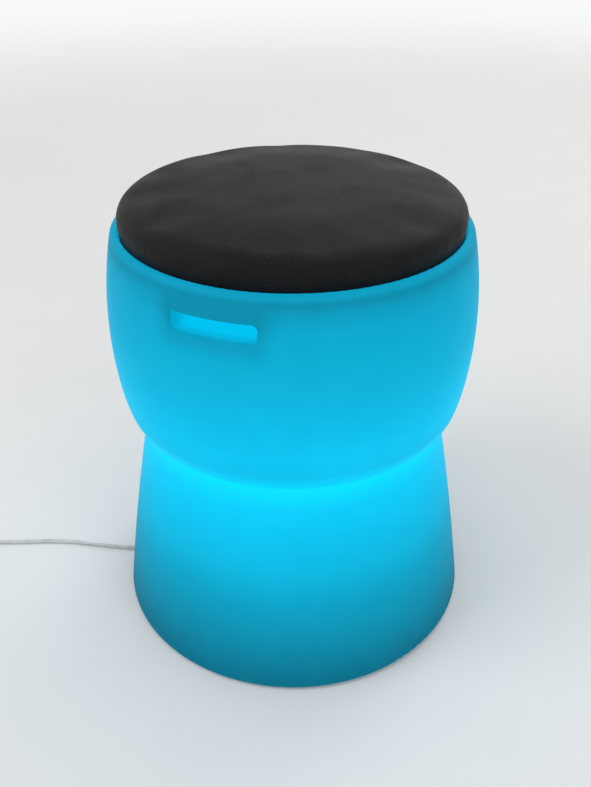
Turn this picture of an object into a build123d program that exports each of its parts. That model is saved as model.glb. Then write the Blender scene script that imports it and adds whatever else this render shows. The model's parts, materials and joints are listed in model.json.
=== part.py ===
from build123d import *
import math
import os

# A round, two-tier light-up stool. Millimetres, +Z up, origin on the floor under the centre of the base.
# The two hand grips face -Y and +Y, and the mains flex leaves the base at CORD_ANGLE.

os.makedirs("parts", exist_ok=True)

# ---- shell: hollow rotomoulded body ----
WALL = 3.5
FOOT_GAP = 2.5            # the feet hold the moulding this far off the floor
BASE_EDGE_R = 3.0         # rounding of the bottom edge, where the moulding is thickest
FOOT_RING_WIDTH = 38.0
WELL_HEIGHT = 22.0        # ceiling of the recess underneath
WAIST_Z = 224.0
CONE_BULGE = 2.0
WAIST_FILLET = 3.0
WAIST_RISE = 0.65         # how far the inner crease lies above the outer one, per wall
CORNER_RISE = 0.3
BOWL_R = 175.0            # widest radius of the bowl
BASE_FLARE = 11.0         # the cone's line meets the floor this far outside the bowl's widest
WAIST_INSET = 27.0        # and the waist is this far inside it
BOWL_Z = 326.0            # and its height
BOWL_SIDE_ARC = 397.0     # radius of the bowl's flank, seen from the side
FLANK_FOOT_Z = 272.0      # the flank's arc starts here
CORNER_Z = 246.0          # the bowl's underside turns in below this
CORNER_INSET = 9.0
LIP_ARC = 6.5
LIP_START_Z = 414.5
LIP_INNER_ARC = 1.6
TRAY_DEPTH = 12.0         # the seat is let into the top by this much
OPENING_R = 92.0          # service opening underneath

# ---- hand grips ----
GRIP_WIDTH = 78.0
GRIP_TOP_Z = 396.5
GRIP_HEIGHT = 17.0
GRIP_DEPTH = 31.0
GRIP_HOOK = 3.5           # the roof rises inwards so that fingers hook over the edge
GRIP_FLOOR_RISE = 1.0     # the floor falls this much towards the mouth, so that rain runs out
GRIP_LIP_ROUND = 7.0      # the floor rolls over into the flank
GRIP_LIP_FLARE = 1.4
GRIP_REACH = 12.0         # how far the cutting shape stands out of the bowl
GRIP_END_FILLET = 5.0
GRIP_BACK_ROUND = 7.0     # more than the end fillet, which runs along it

# ---- base plate and its fixings ----
GASKET_THICK = 2.0
GASKET_WIDTH = 7.0
PLATE_LAP = 26.0          # the plate reaches this far past the opening
PLATE_THICK = 3.5
PLATE_CLEARANCE = 2.0     # between the plate's spigot and the opening
SPIGOT_WIDTH = 3.0
RIB_HEIGHT = 6.0
RIB_THICK = 2.2
RIB_COUNT = 8
RIB_START_R = 50.0
SPIGOT_PROUD = 3.0        # the spigot stands above the flange by this much
SCREW_INSET = 9.0         # the screws stand this far in from the plate's edge
SCREW_COUNT = 6
SCREW_SHANK_R = 2.5
SCREW_HEAD_R = 4.6
SCREW_HEAD_HEIGHT = 3.0
SCREW_LENGTH = 14.0
SCREW_HOLE_CLEARANCE = 0.3
INSERT_R = 4.0
INSERT_LENGTH = 11.0
INSERT_FIT = 0.05
BOSS_WALL = 3.5
FOOT_R = 11.0
FOOT_CHAMFER = 0.6
FOOT_ANGLES = (45, 135, 225, 315)

# ---- flex ----
CORD_D = 5.4              # width of the flat twin flex
CORD_ANGLE = 197.3        # where it leaves the base, from +X
FLEX_START_GAP = 3.6      # the lead becomes the loose flex just outside the foot ring
FLEX_FIRST_RUN = 25.0
CHANNEL_WIDTH = 7.6
CHANNEL_HEIGHT = 7.6
GROMMET_AT = 45.0         # distance of the grommet from the axis
GROMMET_HOLE_R = 5.5
GROMMET_FLANGE_R = 7.5
LEAD_BEND_R = 12.0
LEAD_LEVEL_Z = 34.0       # height of the lead's level run across the plate
LEAD_FIT = 0.1
LEAD_PROUD = 6.0          # the sheath ends this far above the lampholder's floor
CLAMP_AT = 22.5           # distance of the cord clamp from the axis
CLAMP_DEPTH = 8.0
CLAMP_LENGTH = 24.0
CLAMP_SPLIT = 1.2         # left open between the clamp and its saddle
CLAMP_HEIGHT = 5.5
CLAMP_SCREW_R = 1.5
CLAMP_SCREW_DEPTH = 8.0
CLAMP_SCREW_PITCH = 16.0
CORE_R = 1.1
CORE_PITCH = 12.0
CORE_DEPTH = 4.0
CORE_STRAIGHT = 3.0
CORE_BEND_R = 3.0
GROMMET_FLANGE = 1.5

# ---- lampholder and bracket ----
BRACKET_TOP_Z = 52.0
BRACKET_THICK = 1.5
BRACKET_SPAN = 56.0
BRACKET_WIDTH = 26.0
BRACKET_FOOT = 14.0
BRACKET_SCREW_R = 1.75
BRACKET_SCREW_DEPTH = 2.8
NIPPLE_R = 5.0
NIPPLE_BORE_R = 3.4
NIPPLE_LENGTH = 14.0
NUT_ACROSS = 14.0
NUT_HEIGHT = 3.0
HOLDER_R = 20.0
HOLDER_CAP_HEIGHT = 20.0
HOLDER_SKIRT_HEIGHT = 30.0
HOLDER_WALL = 2.0
HOLDER_FIT = 0.2
HOLDER_NECK = 6.0
BLOCK_HEIGHT = 7.0
FLUTE_R = 1.6
FLUTE_COUNT = 18
FLUTE_LENGTH = 14.0
GRIP_FLUTE_START = 8.0
TONGUE_REACH = 9.0
TONGUE_THICK = 0.6
TONGUE_WIDTH = 6.0
TONGUE_RISE = 3.0
SLEEVE_R = 13.9           # outside of the brass screw sleeve
SLEEVE_WALL = 0.4

# ---- lamp ----
CAP_R = 13.1
CAP_LENGTH = 24.0
CAP_FIT = 0.3
CAP_TAPER = 3.5
CONTACT_R = 4.5
CONTACT_HEIGHT = 2.0
HOUSING_R = 29.0
HOUSING_HEIGHT = 48.0
HOUSING_WALL = 2.0
DOME_R = 30.0
DOME_WALL = 1.5
DOME_LIFT = 6.0           # centre of the dome's sphere above its rim
DRIVER_WIDTH = 18.0
DRIVER_HEIGHT = 52.0
DRIVER_THICK = 1.6
DRIVER_PART_HEIGHT = 6.0
LED_BOARD_THICK = 1.6
LED_BOARD_INSET = 1.3
LED_SIZE = 3.0
LED_HEIGHT = 0.8
LED_COUNT = 12
LED_RING_R = 17.0

# ---- seat ----
SEAT_RISE = 30.45         # the crown stands this far above the lip, which makes the stool 450 high
SEAT_CLEARANCE = 0.8      # round the seat, in its tray
SEAT_REST_GAP = 0.3
SEAT_BULGE = 2.4
SEAT_BULGE_RISE = 9.0
SEAT_SHOULDER_DROP = 1.6  # the crown falls this much from centre to shoulder
SEAT_SHOULDER_INSET = 17.0
COVER_THICK = 1.0
COVER_TURN_UNDER = 28.0
COVER_FIT = 0.1
BOARD_THICK = 9.0
STAPLE_COUNT = 24
STAPLE_SPAN = 10.0
STAPLE_WIRE = 1.2
STAPLE_LEG = 6.0

# ---- coil, tie and plug ----
COIL_START_R = 33.75      # outer half turn of the coil
COIL_GAP = 0.7
COIL_TURNS_IN = 4         # half turns from the outside to the inside of a layer
COIL_HEADING = 202.6      # direction in which the flex runs into the coil
TIE_THICK = 1.0
TIE_WIDTH = 6.0
TIE_GAP = 0.3
TIE_SLACK = 2.0           # the turns don't stack quite true, so the tie is slack on the inside
PLUG_WIDTH = 35.3
PLUG_THICK = 13.7
PLUG_LENGTH = 34.0
PLUG_FACE_WIDTH = 26.0
PLUG_CORNER_R = 5.0
PLUG_EDGE_R = 3.5
BOOT_LENGTH = 18.0
BOOT_R = 5.2
BOOT_TAPER = 5.0
PIN_R = 2.0
PIN_LENGTH = 19.0
PIN_PITCH = 18.6
PIN_SLEEVE_LENGTH = 10.0
PIN_SLEEVE_WALL = 0.4

# ---- places that follow from the sizes above ----


def flank_r(z):
    """Radius of the bowl's flank at height z."""
    return BOWL_R - BOWL_SIDE_ARC + math.sqrt(BOWL_SIDE_ARC**2 - (z - BOWL_Z) ** 2)


def around(radius, angle, z=0.0):
    """Point at a radius and an angle in degrees about the stool's axis."""
    a = math.radians(angle)
    return Vector(radius * math.cos(a), radius * math.sin(a), z)


LIP_START_R = flank_r(LIP_START_Z)
LIP_TILT = math.asin((LIP_START_Z - BOWL_Z) / BOWL_SIDE_ARC)
LIP_CREST_R = LIP_START_R - LIP_ARC * math.cos(LIP_TILT)
LIP_CREST_Z = LIP_START_Z + LIP_ARC * (1 - math.sin(LIP_TILT))
TRAY_R = LIP_CREST_R - LIP_INNER_ARC
TRAY_Z = LIP_CREST_Z - TRAY_DEPTH
BASE_R = BOWL_R + BASE_FLARE
WAIST_R = BOWL_R - WAIST_INSET
FOOT_RING_R = BASE_R - FOOT_RING_WIDTH
PLATE_R = OPENING_R + PLATE_LAP
SCREW_PCD_R = PLATE_R - SCREW_INSET
FOOT_PITCH_R = (FOOT_RING_R + BASE_R - BASE_EDGE_R) / 2
SEAT_HEIGHT = LIP_CREST_Z + SEAT_RISE
FLEX_START_R = BASE_R + FLEX_START_GAP
PLATE_TOP = WELL_HEIGHT - GASKET_THICK
PLATE_BOTTOM = PLATE_TOP - PLATE_THICK
HOLDER_BASE = BRACKET_TOP_Z
SKIRT_BASE = HOLDER_BASE + HOLDER_CAP_HEIGHT
BLOCK_TOP = SKIRT_BASE + BLOCK_HEIGHT
LAMP_BASE = BLOCK_TOP + TONGUE_RISE + CAP_FIT
GASKET_INNER_R = OPENING_R + 2.0
SADDLE_Z = LEAD_LEVEL_Z - CLAMP_SPLIT / 2
HOUSING_BASE = LAMP_BASE + CAP_LENGTH
DOME_BASE = HOUSING_BASE + HOUSING_HEIGHT
FIRST_SCREW_ANGLE = CORD_ANGLE - 180 / SCREW_COUNT

# The flex's route on the floor, from the base to the coil.
FLOOR_Z = CORD_D / 2
COIL_Z = TIE_THICK + TIE_GAP + CORD_D / 2
COIL_PITCH = CORD_D + COIL_GAP
COIL_TOP_Z = COIL_Z + 3 * COIL_PITCH
FLEX_ROUTE = [
    around(FLEX_START_R, CORD_ANGLE, FLOOR_Z),
    around(FLEX_START_R + FLEX_FIRST_RUN, CORD_ANGLE, FLOOR_Z),
    (-229.0, -69.0, FLOOR_Z),
    (-256.0, -73.9, FLOOR_Z),
    (-284.0, -84.2, FLOOR_Z),
    (-312.0, -97.6, FLOOR_Z),
    (-338.0, -108.1, FLOOR_Z),
    (-360.7, -117.9, FLOOR_Z + 0.3),
    (-380.85, -126.04, COIL_Z),
    (-394.7, -131.8, COIL_Z),
]
# The tail from the coil down to the plug: distance along the tail, and height above the floor.
PLUG_Z = PLUG_THICK / 2
TAIL_DROP = [(0, COIL_TOP_Z), (12, COIL_TOP_Z), (27, 18.5), (42, 10.5), (55, PLUG_Z), (67, PLUG_Z)]



def disc(radius, bottom, top, mode=Mode.ADD):
    """A cylinder about the axis of the active locations, from one height to another."""
    with Locations((0, 0, bottom)):
        Cylinder(radius, top - bottom, align=(Align.CENTER, Align.CENTER, Align.MIN), mode=mode)


def bracket_screw_places():
    """Where the bracket's two feet are screwed down."""
    reach = (BRACKET_SPAN + BRACKET_FOOT) / 2
    return [around(reach, CORD_ANGLE + 90), around(reach, CORD_ANGLE - 90)]


def clamp_screw_places():
    """Where the cord clamp's two screws stand, either side of the lead."""
    side = around(CLAMP_SCREW_PITCH / 2, CORD_ANGLE + 90)
    return [around(CLAMP_AT, CORD_ANGLE) + side, around(CLAMP_AT, CORD_ANGLE) - side]


def core_places():
    """Where the two cores enter the contact block."""
    return [around(CORE_PITCH / 2, CORD_ANGLE + 90), around(CORE_PITCH / 2, CORD_ANGLE - 90)]


def save(part, label):
    """Labels a finished piece and writes it."""
    part.label = label
    export_step(part, f"parts/{label}.step")


# ---- shell ----
def outer_side(inset=0.0):
    """Draws the outer side, or the same side inset by a wall, from the foot ring to the flank's foot."""
    foot_z = FOOT_GAP + inset
    ring_inner_r = FOOT_RING_R + inset
    waist = (WAIST_R - inset, WAIST_Z + WAIST_RISE * inset)
    corner = (BOWL_R - CORNER_INSET - inset, CORNER_Z + CORNER_RISE * inset)
    flank_foot = (flank_r(FLANK_FOOT_Z) - inset, FLANK_FOOT_Z)
    cone_mid = ((BASE_R + WAIST_R) / 2 + CONE_BULGE - inset, (waist[1] + foot_z) / 2)
    tilt = math.asin((FLANK_FOOT_Z - BOWL_Z) / BOWL_SIDE_ARC)
    Line((ring_inner_r, foot_z), (BASE_R - inset, foot_z))
    ThreePointArc((BASE_R - inset, foot_z), cone_mid, waist)
    bend = TangentArc(flank_foot, corner, tangent=(math.sin(tilt), -math.cos(tilt)))
    TangentArc(corner, waist, tangent=bend % 1)


def flank_to(z, inset=0.0):
    """Draws the bowl's flank from its foot up to height z."""
    mid_z = (FLANK_FOOT_Z + z) / 2
    foot = (flank_r(FLANK_FOOT_Z) - inset, FLANK_FOOT_Z)
    ThreePointArc(foot, (flank_r(mid_z) - inset, mid_z), (flank_r(z) - inset, z))


def round_base(face, inset=0.0):
    """Rounds the bottom edge and the waist crease of a body section."""
    edge = (BASE_R - inset, FOOT_GAP + inset)
    crease = (WAIST_R - inset, WAIST_Z + WAIST_RISE * inset)
    fillet(face.vertices().sort_by_distance(edge)[0], BASE_EDGE_R + inset)
    fillet(face.vertices().sort_by_distance(crease)[0], WAIST_FILLET + inset)


def scoop(extra):
    """One hand grip's hollow towards +Y, with every face moved out by extra."""
    mouth = flank_r(GRIP_TOP_Z)
    back = mouth - GRIP_DEPTH - extra
    front = BOWL_R + GRIP_REACH
    floor_z = GRIP_TOP_Z - GRIP_HEIGHT - extra
    roof_z = GRIP_TOP_Z + extra
    roll = GRIP_LIP_ROUND - extra
    roll_start = flank_r(floor_z) - GRIP_LIP_ROUND
    roll_end = (roll_start + GRIP_LIP_FLARE * roll, floor_z - roll)
    half_angle = math.degrees(math.asin((GRIP_WIDTH / 2 + extra) / mouth))

    def is_inside(edge):
        """True for the hollow's own edges, and not for those that only reach out of the mouth."""
        middle = edge.center()
        return math.hypot(middle.X, middle.Y) < front - 1 and middle.Z > roll_end[1] + 0.1

    with BuildPart() as hollow:
        with BuildSketch(Plane.XZ) as hollow_section:
            with BuildLine():
                floor_line = Line((back, floor_z + GRIP_FLOOR_RISE), (roll_start, floor_z))
                TangentArc((roll_start, floor_z), roll_end, tangent=floor_line % 1)
                Polyline(
                    roll_end,
                    (front, roll_end[1]),
                    (front, roof_z),
                    (mouth - GRIP_DEPTH / 6, roof_z),
                    (mouth - GRIP_DEPTH / 2, roof_z + GRIP_HOOK),
                    (back, roof_z + GRIP_HOOK),
                    (back, floor_z + GRIP_FLOOR_RISE),
                )
            make_face()
            fillet(hollow_section.vertices().group_by(Axis.X)[0], GRIP_BACK_ROUND + extra)
        revolve(axis=Axis.Z, revolution_arc=2 * half_angle)
        end_faces = hollow.faces().filter_by(lambda face: abs(face.normal_at().Z) < 0.01 and face.is_planar)
        fillet(end_faces.edges().filter_by(is_inside), GRIP_END_FILLET)
    return hollow.part.rotate(Axis.Z, 90 - half_angle)


def channel(extra):
    """The flex's channel through the foot ring, with every face moved out by extra."""
    run_plane = Plane(
        origin=around(FOOT_RING_R - FOOT_RING_WIDTH / 3, CORD_ANGLE),
        x_dir=around(1, CORD_ANGLE + 90),
        z_dir=around(1, CORD_ANGLE),
    )
    width = CHANNEL_WIDTH + 2 * extra
    height = CHANNEL_HEIGHT + extra
    with BuildPart() as groove:
        with BuildSketch(run_plane) as groove_section:
            with Locations((0, height / 2)):
                Rectangle(width, height)
            fillet(groove_section.vertices().group_by(Axis.Y)[-1], CHANNEL_WIDTH / 2 - 0.6)
        extrude(amount=FOOT_RING_WIDTH * 5 / 3)
    return groove.part


with BuildSketch() as outer_section:
    with BuildLine():
        outer_side()
        flank_to(LIP_START_Z)
        TangentArc(
            (LIP_START_R, LIP_START_Z),
            (LIP_CREST_R, LIP_CREST_Z),
            tangent=(-math.sin(LIP_TILT), math.cos(LIP_TILT)),
        )
        TangentArc((LIP_CREST_R, LIP_CREST_Z), (TRAY_R, LIP_CREST_Z - LIP_INNER_ARC), tangent=(-1, 0))
        Polyline(
            (TRAY_R, LIP_CREST_Z - LIP_INNER_ARC),
            (TRAY_R, TRAY_Z),
            (0, TRAY_Z),
            (0, WELL_HEIGHT),
            (FOOT_RING_R - 3, WELL_HEIGHT),
            (FOOT_RING_R, FOOT_GAP),
        )
    make_face()
    round_base(outer_section)

with BuildSketch() as cavity_section:
    with BuildLine():
        outer_side(WALL)
        flank_to(TRAY_Z - WALL, WALL)
        Polyline(
            (flank_r(TRAY_Z - WALL) - WALL, TRAY_Z - WALL),
            (-WALL, TRAY_Z - WALL),
            (-WALL, WELL_HEIGHT + WALL),
            (FOOT_RING_R, WELL_HEIGHT + WALL),
            (FOOT_RING_R + WALL, FOOT_GAP + WALL),
        )
    make_face()
    round_base(cavity_section, WALL)

# What the moulding holds besides its skin: walls round the grips and the channel, and the insert bosses.
with BuildPart() as inner_walls:
    hand_grip = scoop(WALL)
    add(hand_grip)
    add(hand_grip, rotation=(0, 0, 180))
    add(channel(WALL))
    with BuildSketch(Plane.XZ):
        add(outer_section.sketch)
    revolve(axis=Axis.Z, mode=Mode.INTERSECT)
    with PolarLocations(SCREW_PCD_R, SCREW_COUNT, start_angle=FIRST_SCREW_ANGLE):
        disc(INSERT_R + BOSS_WALL, WELL_HEIGHT, WELL_HEIGHT + INSERT_LENGTH + BOSS_WALL)

with BuildPart() as shell:
    with BuildSketch(Plane.XZ):
        add(outer_section.sketch)
        add(cavity_section.sketch, mode=Mode.SUBTRACT)
        with Locations((OPENING_R / 2, WELL_HEIGHT + WALL / 2)):
            Rectangle(OPENING_R, WALL * 2, mode=Mode.SUBTRACT)
    revolve(axis=Axis.Z)
    add(inner_walls.part)
    with PolarLocations(SCREW_PCD_R, SCREW_COUNT, start_angle=FIRST_SCREW_ANGLE):
        disc(INSERT_R + INSERT_FIT, WELL_HEIGHT - 1, WELL_HEIGHT + INSERT_LENGTH, Mode.SUBTRACT)
    add(channel(0), mode=Mode.SUBTRACT)
    hand_hollow = scoop(0)
    add(hand_hollow, mode=Mode.SUBTRACT)
    add(hand_hollow, rotation=(0, 0, 180), mode=Mode.SUBTRACT)
save(shell.part, "shell")
print("shell volume", round(shell.part.volume), "solids", len(shell.solids()))

# ---- base plate, gasket and fixings ----
with BuildPart() as base_plate:
    spigot_r = OPENING_R - PLATE_CLEARANCE
    spigot_top = PLATE_TOP + GASKET_THICK + WALL + SPIGOT_PROUD
    disc(PLATE_R, PLATE_BOTTOM, PLATE_TOP)
    disc(spigot_r, PLATE_TOP, spigot_top)
    disc(spigot_r - SPIGOT_WIDTH, PLATE_TOP, spigot_top, Mode.SUBTRACT)
    rib_length = spigot_r - SPIGOT_WIDTH - RIB_START_R
    with PolarLocations(RIB_START_R + rib_length / 2, RIB_COUNT, start_angle=CORD_ANGLE + 180 / RIB_COUNT):
        with Locations((0, 0, PLATE_TOP)):
            Box(rib_length + 1, RIB_THICK, RIB_HEIGHT, align=(Align.CENTER, Align.CENTER, Align.MIN))
    with Locations(Plane(around(0, 0, PLATE_TOP), x_dir=around(1, CORD_ANGLE))):
        with Locations((CLAMP_AT, 0, 0)):
            Box(CLAMP_DEPTH, CLAMP_LENGTH, SADDLE_Z - PLATE_TOP, align=(Align.CENTER, Align.CENTER, Align.MIN))
    with BuildSketch(Plane(around(0, CORD_ANGLE, LEAD_LEVEL_Z), z_dir=around(1, CORD_ANGLE))):
        Circle(CORD_D / 2 + LEAD_FIT)
    extrude(amount=GROMMET_AT, mode=Mode.SUBTRACT)
    with PolarLocations(SCREW_PCD_R, SCREW_COUNT, start_angle=FIRST_SCREW_ANGLE):
        disc(SCREW_SHANK_R + SCREW_HOLE_CLEARANCE, PLATE_BOTTOM - 1, PLATE_TOP + 1, Mode.SUBTRACT)
    with Locations(around(GROMMET_AT, CORD_ANGLE)):
        disc(GROMMET_HOLE_R, PLATE_BOTTOM - 1, PLATE_TOP + 1, Mode.SUBTRACT)
    with Locations(*bracket_screw_places()):
        disc(BRACKET_SCREW_R, PLATE_TOP - BRACKET_SCREW_DEPTH, PLATE_TOP + 1, Mode.SUBTRACT)
    with Locations(*clamp_screw_places()):
        disc(CLAMP_SCREW_R, SADDLE_Z - CLAMP_SCREW_DEPTH, SADDLE_Z + 1, Mode.SUBTRACT)
save(base_plate.part, "base_plate")

with BuildPart() as base_gasket:
    disc(GASKET_INNER_R + GASKET_WIDTH, PLATE_TOP, WELL_HEIGHT)
    disc(GASKET_INNER_R, PLATE_TOP, WELL_HEIGHT, Mode.SUBTRACT)
save(base_gasket.part, "base_gasket")

with BuildPart() as base_inserts:
    with PolarLocations(SCREW_PCD_R, SCREW_COUNT, start_angle=FIRST_SCREW_ANGLE):
        disc(INSERT_R, WELL_HEIGHT, WELL_HEIGHT + INSERT_LENGTH)
        disc(SCREW_SHANK_R + INSERT_FIT, WELL_HEIGHT, WELL_HEIGHT + INSERT_LENGTH, Mode.SUBTRACT)
save(base_inserts.part, "base_inserts")


def screw(head_r, head_height, shank_r, shank_length):
    """Adds a pan-head screw pointing up, the underside of its head at the active location."""
    with BuildPart(mode=Mode.PRIVATE) as pan_screw:
        disc(shank_r, 0, shank_length)
        disc(head_r, -head_height, 0)
        fillet(pan_screw.edges().group_by(Axis.Z)[0], head_height / 2)
        with Locations((0, 0, -head_height)):
            Box(head_r, head_height / 3, head_height, mode=Mode.SUBTRACT)
            Box(head_height / 3, head_r, head_height, mode=Mode.SUBTRACT)
    return pan_screw.part


with BuildPart() as base_screws:
    base_screw = screw(SCREW_HEAD_R, SCREW_HEAD_HEIGHT, SCREW_SHANK_R, SCREW_LENGTH)
    with PolarLocations(SCREW_PCD_R, SCREW_COUNT, start_angle=FIRST_SCREW_ANGLE):
        with Locations((0, 0, PLATE_BOTTOM)):
            add(base_screw)
save(base_screws.part, "base_screws")

for number, foot_angle in enumerate(FOOT_ANGLES, start=1):
    with BuildPart() as foot:
        with Locations(around(FOOT_PITCH_R, foot_angle)):
            disc(FOOT_R, 0, FOOT_GAP)
        chamfer(foot.edges().group_by(Axis.Z)[0], FOOT_CHAMFER)
    save(foot.part, f"foot_{number}")

# ---- bracket, nipple and lampholder ----
bracket_plane = Plane(origin=around(0, 0), x_dir=around(1, CORD_ANGLE + 90), z_dir=around(1, CORD_ANGLE))
with BuildPart() as lamp_bracket:
    with BuildSketch(bracket_plane) as bracket_section:
        half_span = BRACKET_SPAN / 2
        foot_end = half_span + BRACKET_FOOT
        with BuildLine():
            Polyline(
                (0, BRACKET_TOP_Z),
                (half_span, BRACKET_TOP_Z),
                (half_span, PLATE_TOP + BRACKET_THICK),
                (foot_end, PLATE_TOP + BRACKET_THICK),
                (foot_end, PLATE_TOP),
                (half_span - BRACKET_THICK, PLATE_TOP),
                (half_span - BRACKET_THICK, BRACKET_TOP_Z - BRACKET_THICK),
                (0, BRACKET_TOP_Z - BRACKET_THICK),
                close=True,
            )
        make_face()
        outer_bends = [(half_span, BRACKET_TOP_Z), (half_span - BRACKET_THICK, PLATE_TOP)]
        for place in outer_bends:
            fillet(bracket_section.vertices().sort_by_distance(place)[0], BRACKET_THICK * 2)
        inner_bends = [(half_span, PLATE_TOP + BRACKET_THICK), (half_span - BRACKET_THICK, BRACKET_TOP_Z - BRACKET_THICK)]
        for place in inner_bends:
            fillet(bracket_section.vertices().sort_by_distance(place)[0], BRACKET_THICK)
        mirror(about=Plane.YZ)
    extrude(amount=BRACKET_WIDTH / 2, both=True)
    disc(NIPPLE_R + LEAD_FIT, BRACKET_TOP_Z - BRACKET_THICK - 1, BRACKET_TOP_Z + 1, Mode.SUBTRACT)
    with Locations(*bracket_screw_places()):
        disc(BRACKET_SCREW_R + SCREW_HOLE_CLEARANCE, PLATE_TOP - 1, PLATE_TOP + BRACKET_THICK + 1, Mode.SUBTRACT)
save(lamp_bracket.part, "lamp_bracket")

with BuildPart() as bracket_screws:
    bracket_screw_length = BRACKET_SCREW_DEPTH + BRACKET_THICK - 0.2
    bracket_screw = screw(
        BRACKET_SCREW_R * 2, BRACKET_SCREW_R, BRACKET_SCREW_R - INSERT_FIT, bracket_screw_length
    )
    with Locations(*[place + Vector(0, 0, PLATE_TOP + BRACKET_THICK) for place in bracket_screw_places()]):
        add(bracket_screw, rotation=(180, 0, 0))
save(bracket_screws.part, "bracket_screws")

with BuildPart() as threaded_nipple:
    nipple_bottom = BRACKET_TOP_Z - BRACKET_THICK - NUT_HEIGHT - 2
    disc(NIPPLE_R, nipple_bottom, nipple_bottom + NIPPLE_LENGTH)
    disc(NIPPLE_BORE_R, nipple_bottom, nipple_bottom + NIPPLE_LENGTH, Mode.SUBTRACT)
save(threaded_nipple.part, "threaded_nipple")

with BuildPart() as nipple_nut:
    with BuildSketch(Plane.XY.offset(BRACKET_TOP_Z - BRACKET_THICK - NUT_HEIGHT)):
        RegularPolygon(NUT_ACROSS / 2, 6, major_radius=False)
        Circle(NIPPLE_R + INSERT_FIT, mode=Mode.SUBTRACT)
    extrude(amount=NUT_HEIGHT)
save(nipple_nut.part, "nipple_nut")

with BuildPart() as lampholder_cap:
    with BuildSketch(Plane.XZ):
        with BuildLine():
            inner_r = HOLDER_R - HOLDER_WALL
            floor_top = HOLDER_BASE + HOLDER_WALL
            neck_r = inner_r - HOLDER_FIT
            Polyline(
                (neck_r - HOLDER_WALL, SKIRT_BASE + HOLDER_NECK),
                (neck_r - HOLDER_WALL, floor_top + inner_r / 2),
                (inner_r / 2 + 2, floor_top),
                (NIPPLE_R + INSERT_FIT, floor_top),
                (NIPPLE_R + INSERT_FIT, HOLDER_BASE),
                (HOLDER_R / 2 + 4, HOLDER_BASE),
            )
            ThreePointArc(
                (HOLDER_R / 2 + 4, HOLDER_BASE),
                (HOLDER_R - 1.8, HOLDER_BASE + HOLDER_R / 4),
                (HOLDER_R, HOLDER_BASE + HOLDER_R * 0.7),
            )
            Polyline(
                (HOLDER_R, HOLDER_BASE + HOLDER_R * 0.7),
                (HOLDER_R, SKIRT_BASE),
                (neck_r, SKIRT_BASE),
                (neck_r, SKIRT_BASE + HOLDER_NECK),
                (neck_r - HOLDER_WALL, SKIRT_BASE + HOLDER_NECK),
            )
        make_face()
    revolve(axis=Axis.Z)
save(lampholder_cap.part, "lampholder_cap")

with BuildPart() as lampholder_skirt:
    skirt_top = SKIRT_BASE + HOLDER_SKIRT_HEIGHT
    disc(HOLDER_R, SKIRT_BASE, skirt_top)
    chamfer(lampholder_skirt.edges().group_by(Axis.Z)[-1], HOLDER_WALL / 2)
    disc(HOLDER_R - HOLDER_WALL, SKIRT_BASE, skirt_top, Mode.SUBTRACT)
    with BuildSketch(Plane.XY.offset(SKIRT_BASE + HOLDER_NECK + 1)):
        Circle(HOLDER_R - HOLDER_WALL + 0.5)
        Circle(SLEEVE_R + HOLDER_FIT, mode=Mode.SUBTRACT)
    extrude(amount=HOLDER_WALL)
    with BuildSketch(Plane.XY.offset(SKIRT_BASE + GRIP_FLUTE_START)):
        with PolarLocations(HOLDER_R + 1, FLUTE_COUNT):
            Circle(FLUTE_R)
    extrude(amount=FLUTE_LENGTH, mode=Mode.SUBTRACT)
save(lampholder_skirt.part, "lampholder_skirt")

with BuildPart() as contact_block:
    block_r = HOLDER_R - 2 * HOLDER_WALL - 2 * HOLDER_FIT
    disc(block_r, SKIRT_BASE, BLOCK_TOP)
    with Locations(*core_places()):
        disc(CORE_R + HOLDER_FIT, SKIRT_BASE - 1, SKIRT_BASE + CORE_DEPTH, Mode.SUBTRACT)
save(contact_block.part, "contact_block")

with BuildPart() as screw_sleeve:
    disc(SLEEVE_R, BLOCK_TOP, skirt_top - HOLDER_WALL)
    disc(SLEEVE_R - SLEEVE_WALL, BLOCK_TOP, skirt_top - HOLDER_WALL, Mode.SUBTRACT)
save(screw_sleeve.part, "screw_sleeve")

with BuildPart() as centre_contact:
    with BuildSketch(Plane.XZ):
        with BuildLine():
            tongue_top = LAMP_BASE - CAP_FIT
            Polyline(
                (-TONGUE_REACH, BLOCK_TOP),
                (-TONGUE_REACH / 3, BLOCK_TOP),
                (TONGUE_REACH / 3, tongue_top),
                (-TONGUE_REACH / 2, tongue_top),
                (-TONGUE_REACH / 2, tongue_top - TONGUE_THICK),
                (TONGUE_REACH / 3 - 2, tongue_top - TONGUE_THICK),
                (-TONGUE_REACH / 3 - TONGUE_THICK, BLOCK_TOP + TONGUE_THICK),
                (-TONGUE_REACH, BLOCK_TOP + TONGUE_THICK),
                close=True,
            )
        make_face()
    extrude(amount=TONGUE_WIDTH / 2, both=True)
save(centre_contact.part, "centre_contact")

# ---- bulb ----
with BuildPart() as bulb_contact:
    disc(CONTACT_R, LAMP_BASE, LAMP_BASE + CONTACT_HEIGHT)
    chamfer(bulb_contact.edges().group_by(Axis.Z)[0], CONTACT_HEIGHT / 3)
save(bulb_contact.part, "bulb_contact")

with BuildPart() as bulb_cap:
    with BuildSketch(Plane.XZ):
        with BuildLine():
            Polyline(
                (0, LAMP_BASE + CONTACT_HEIGHT),
                (CONTACT_R + 1, LAMP_BASE + CONTACT_HEIGHT),
                (CAP_R, LAMP_BASE + CONTACT_HEIGHT + CAP_TAPER),
                (CAP_R, HOUSING_BASE + CAP_TAPER),
                (CAP_R - 1, HOUSING_BASE + CAP_TAPER),
                (CAP_R - 1, LAMP_BASE + CONTACT_HEIGHT + CAP_TAPER + 1),
                (0, LAMP_BASE + CONTACT_HEIGHT + CAP_TAPER + 1),
                close=True,
            )
        make_face()
    revolve(axis=Axis.Z)
save(bulb_cap.part, "bulb_cap")

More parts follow.
